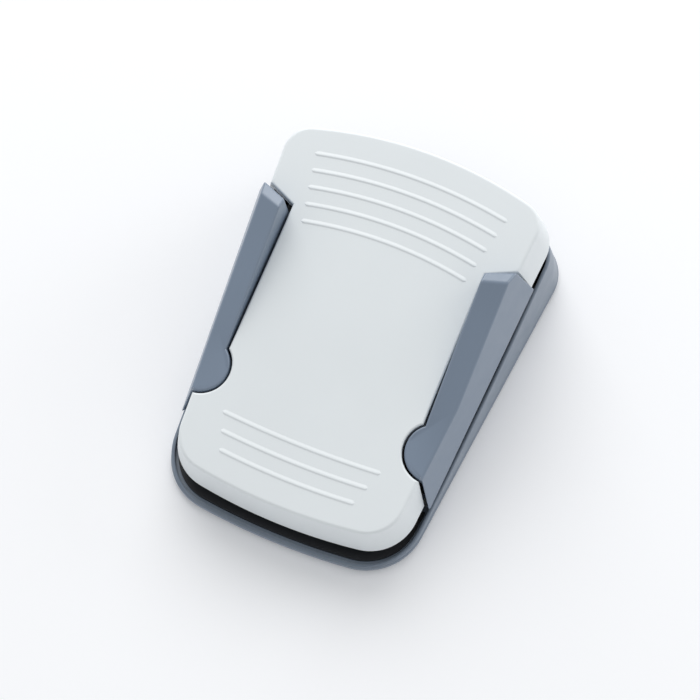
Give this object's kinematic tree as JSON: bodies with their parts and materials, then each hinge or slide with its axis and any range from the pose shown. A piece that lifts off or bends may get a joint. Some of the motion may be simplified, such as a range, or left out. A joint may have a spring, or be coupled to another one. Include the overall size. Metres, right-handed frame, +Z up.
{
  "type": "sewing machine pedal",
  "caption": "foot control with a ribbed white rocking treadle, blue-grey side levers that swing outwards and a wedge-shaped base on rubber feet; sets sewing speed",
  "frame": {"origin": "on the floor under the middle of the overall box", "axes": "+X to the user's right, +Y from the heel to the toe of the pedal, +Z up"},
  "size_m": [0.1528, 0.21, 0.078],
  "materials": {
    "white_plastic": "fine-grained satin moulding",
    "blue_plastic": "satin moulding, blue-grey",
    "black_plastic": "matte black moulding",
    "gland_plastic": "smooth black moulding",
    "soft_rubber": "soft matte rubber",
    "bearing_plastic": "natural acetal",
    "axle_steel": "ground bright steel",
    "spring_steel": "drawn spring wire",
    "screw_steel": "zinc-plated steel",
    "board_laminate": "green coated laminate",
    "component_plastic": "black moulded housings",
    "connector_plastic": "natural nylon"
  },
  "bodies": {
    "base": {"base_tray": "blue_plastic", "base_body": "blue_plastic", "chassis": "black_plastic", "rubber_feet": "soft_rubber", "cable_gland": "gland_plastic", "chassis_screws": "screw_steel", "base_screws": "screw_steel", "treadle_axle": "axle_steel", "axle_clips": "axle_steel", "toe_springs": "spring_steel", "heel_spring": "spring_steel", "toe_bumpers": "soft_rubber", "heel_bumpers": "soft_rubber", "circuit_board": "board_laminate", "board_components": "component_plastic", "board_connector": "connector_plastic", "board_screws": "screw_steel", "speed_sensor": "component_plastic", "heel_switch": "component_plastic"},
    "treadle": {"treadle_shell": "white_plastic", "treadle_carrier": "black_plastic", "carrier_screws": "screw_steel", "pivot_bushes": "bearing_plastic", "lever_spring_left": "spring_steel", "lever_spring_right": "spring_steel", "lever_switch_left": "component_plastic", "lever_switch_right": "component_plastic"},
    "right_lever": {"lever_right": "blue_plastic", "lever_pin_right": "axle_steel"},
    "left_lever": {"lever_left": "blue_plastic", "lever_pin_left": "axle_steel"},
    "speed_slide": {"speed_slider": "bearing_plastic"},
    "heel_button": {"heel_plunger": "bearing_plastic"},
    "right_plunger": {"switch_plunger_right": "bearing_plastic"},
    "left_plunger": {"switch_plunger_left": "bearing_plastic"}
  },
  "joints": [
    {"name": "treadle_rock", "type": "hinge", "parent": "base", "child": "treadle", "pos_m": [0, -0.018, 0.022], "axis": [-1, 0, 0], "range_deg": [-3, 4.5], "stiffness_Nm_per_rad": 15, "deforming": ["toe_springs", "heel_spring"]},
    {"name": "right_lever_swing", "type": "hinge", "parent": "treadle", "child": "right_lever", "pos_m": [0.0515, -0.05174, 0.04476], "axis": [0, 0.225, -0.9744], "range_deg": [0, 4], "stiffness_Nm_per_rad": 2},
    {"name": "left_lever_swing", "type": "hinge", "parent": "treadle", "child": "left_lever", "pos_m": [-0.0515, -0.05174, 0.04476], "axis": [0, -0.225, 0.9744], "range_deg": [0, 4], "stiffness_Nm_per_rad": 2},
    {"name": "speed_slider_travel", "type": "slide", "parent": "base", "child": "speed_slide", "axis": [0, 0, -1], "range_m": [-0.0029, 0.0043]},
    {"name": "heel_plunger_travel", "type": "slide", "parent": "base", "child": "heel_button", "axis": [0, 0, -1], "range_m": [-0.002, 0.0014]},
    {"name": "right_plunger_travel", "type": "slide", "parent": "treadle", "child": "right_plunger", "axis": [1, 0, 0], "range_m": [0, 0.002]},
    {"name": "left_plunger_travel", "type": "slide", "parent": "treadle", "child": "left_plunger", "axis": [-1, 0, 0], "range_m": [0, 0.002]}
  ],
  "couplings": [
    {"joint": "speed_slider_travel", "follows": "treadle_rock", "m_per_rad": 0.0535},
    {"joint": "heel_plunger_travel", "follows": "treadle_rock", "m_per_rad": -0.0245},
    {"joint": "right_plunger_travel", "follows": "right_lever_swing", "m_per_rad": 0.028},
    {"joint": "left_plunger_travel", "follows": "left_lever_swing", "m_per_rad": 0.028}
  ]
}
